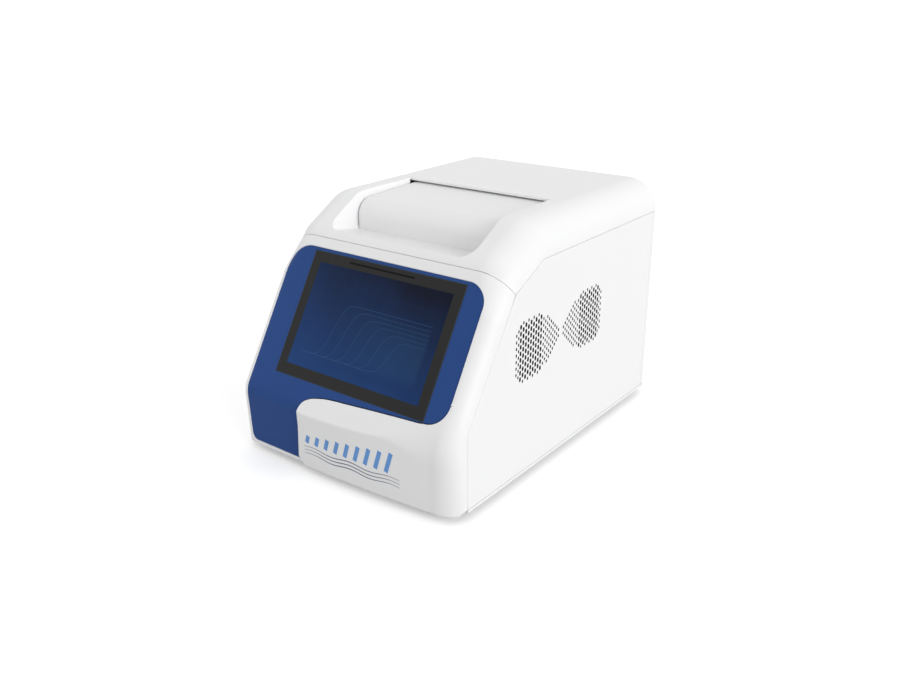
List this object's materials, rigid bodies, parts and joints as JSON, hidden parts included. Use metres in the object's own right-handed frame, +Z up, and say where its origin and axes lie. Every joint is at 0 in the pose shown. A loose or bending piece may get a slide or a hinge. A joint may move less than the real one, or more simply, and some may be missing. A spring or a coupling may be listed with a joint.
{
  "type": "real-time pcr machine",
  "caption": "Bench-top real-time PCR instrument with a sloping touch screen, a sliding lid over the sample block and slotted side vents.",
  "frame": {"origin": "middle of the overall box, on the surface that the feet stand on", "axes": "+Z up, +Y to the rear, -Y is the side with the screen, +X is the right side seen from the front"},
  "size_m": [0.351, 0.4838, 0.325],
  "materials": {
    "white_shell": "satin",
    "blue_fascia": "satin",
    "screen_glass": "gloss",
    "black_plastic": "matte",
    "rubber": "matte",
    "sheet_metal": "brushed",
    "aluminium": "satin",
    "steel": "ground",
    "circuit_board": "satin",
    "ceramic": "matte",
    "insulation": "matte",
    "mixed_electronics": "satin"
  },
  "bodies": {
    "case": {"front_frame": "white_shell", "top_cover": "white_shell", "side_panel_left": "white_shell", "side_panel_right": "white_shell", "rear_panel": "white_shell", "front_fascia": "blue_fascia", "screen_glass": "screen_glass", "display_panel": "black_plastic", "lid_motor": "black_plastic", "power_inlet": "black_plastic", "data_ports": "black_plastic", "fan_frame_left_front": "black_plastic", "fan_frame_left_rear": "black_plastic", "fan_frame_right_front": "black_plastic", "fan_frame_right_rear": "black_plastic", "foot_front_left": "rubber", "foot_front_right": "rubber", "foot_rear_left": "rubber", "foot_rear_right": "rubber", "display_bracket": "sheet_metal", "base_tray": "sheet_metal", "chassis_deck": "sheet_metal", "chassis_wall_left": "sheet_metal", "chassis_wall_right": "sheet_metal", "screw_bearing": "aluminium", "thermal_block": "aluminium", "heat_sink": "aluminium", "lid_rail_left": "steel", "lid_rail_right": "steel", "rear_screw_left_lower": "steel", "rear_screw_left_upper": "steel", "rear_screw_right_lower": "steel", "rear_screw_right_upper": "steel", "main_board": "circuit_board", "peltier_module": "ceramic", "block_collar": "insulation", "vent_filter_left": "insulation", "vent_filter_right": "insulation", "power_supply": "mixed_electronics"},
    "lid": {"lid_hood": "white_shell", "lid_frame": "sheet_metal", "lid_carriage_left": "steel", "lid_carriage_right": "steel", "lid_nut": "aluminium", "lift_motor": "black_plastic", "scan_rail": "steel", "scan_motor": "black_plastic", "scan_belt": "rubber"},
    "lid_screw": {"lid_screw": "steel"},
    "hot_plate": {"heated_plate": "aluminium"},
    "lift_screw": {"lift_screw": "steel"},
    "scan_head": {"scan_head": "black_plastic"},
    "scan_pulley": {"scan_pulley": "aluminium"},
    "scan_idler": {"scan_idler": "aluminium"},
    "fan_rotor_left_front": {"fan_rotor_left_front": "black_plastic"},
    "fan_rotor_left_rear": {"fan_rotor_left_rear": "black_plastic"},
    "fan_rotor_right_front": {"fan_rotor_right_front": "black_plastic"},
    "fan_rotor_right_rear": {"fan_rotor_right_rear": "black_plastic"},
    "power_rocker": {"power_rocker": "black_plastic"},
    "fuse_drawer": {"fuse_drawer": "black_plastic"}
  },
  "joints": [
    {"name": "lid_slide", "type": "slide", "parent": "case", "child": "lid", "axis": [0, 1, 0], "range_m": [0, 0.11]},
    {"name": "lid_screw_spin", "type": "hinge", "parent": "case", "child": "lid_screw", "pos_m": [-0.084, 0.14187, 0.2615], "axis": [0, 1, 0], "range_deg": [-2, 1982]},
    {"name": "plate_lift", "type": "slide", "parent": "lid", "child": "hot_plate", "axis": [0, 0, -1], "range_m": [0, 0.0035]},
    {"name": "lift_screw_spin", "type": "hinge", "parent": "lid", "child": "lift_screw", "pos_m": [0.084, -0.00763, 0.288], "axis": [0, 0, 1], "range_deg": [-2, 318]},
    {"name": "scan_slide", "type": "slide", "parent": "lid", "child": "scan_head", "axis": [1, 0, 0], "range_m": [0, 0.1]},
    {"name": "scan_pulley_spin", "type": "hinge", "parent": "lid", "child": "scan_pulley", "pos_m": [0.084, 0.06287, 0.3015], "axis": [0, 1, 0], "range_deg": [-957, 2]},
    {"name": "scan_idler_spin", "type": "hinge", "parent": "lid", "child": "scan_idler", "pos_m": [-0.084, 0.06287, 0.3015], "axis": [0, 1, 0], "range_deg": [-957, 2]},
    {"name": "fan_spin_left_front", "type": "hinge", "parent": "case", "child": "fan_rotor_left_front", "pos_m": [-0.136, -0.06063, 0.1764], "axis": [1, 0, 0], "continuous": true},
    {"name": "fan_spin_left_rear", "type": "hinge", "parent": "case", "child": "fan_rotor_left_rear", "pos_m": [-0.136, 0.04537, 0.1764], "axis": [1, 0, 0], "continuous": true},
    {"name": "fan_spin_right_front", "type": "hinge", "parent": "case", "child": "fan_rotor_right_front", "pos_m": [0.136, -0.06063, 0.1764], "axis": [1, 0, 0], "continuous": true},
    {"name": "fan_spin_right_rear", "type": "hinge", "parent": "case", "child": "fan_rotor_right_rear", "pos_m": [0.136, 0.04537, 0.1764], "axis": [1, 0, 0], "continuous": true},
    {"name": "rocker_tilt", "type": "hinge", "parent": "case", "child": "power_rocker", "pos_m": [0.082, 0.23387, 0.054], "axis": [1, 0, 0], "range_deg": [-18, 0]},
    {"name": "fuse_pull", "type": "slide", "parent": "case", "child": "fuse_drawer", "axis": [0, 1, 0], "range_m": [0, 0.016]}
  ],
  "couplings": [
    {"joint": "lid_screw_spin", "follows": "lid_slide", "rad_per_m": 314.16},
    {"joint": "lift_screw_spin", "follows": "plate_lift", "rad_per_m": 1570.8},
    {"joint": "scan_pulley_spin", "follows": "scan_slide", "rad_per_m": -166.67},
    {"joint": "scan_idler_spin", "follows": "scan_slide", "rad_per_m": -166.67}
  ]
}
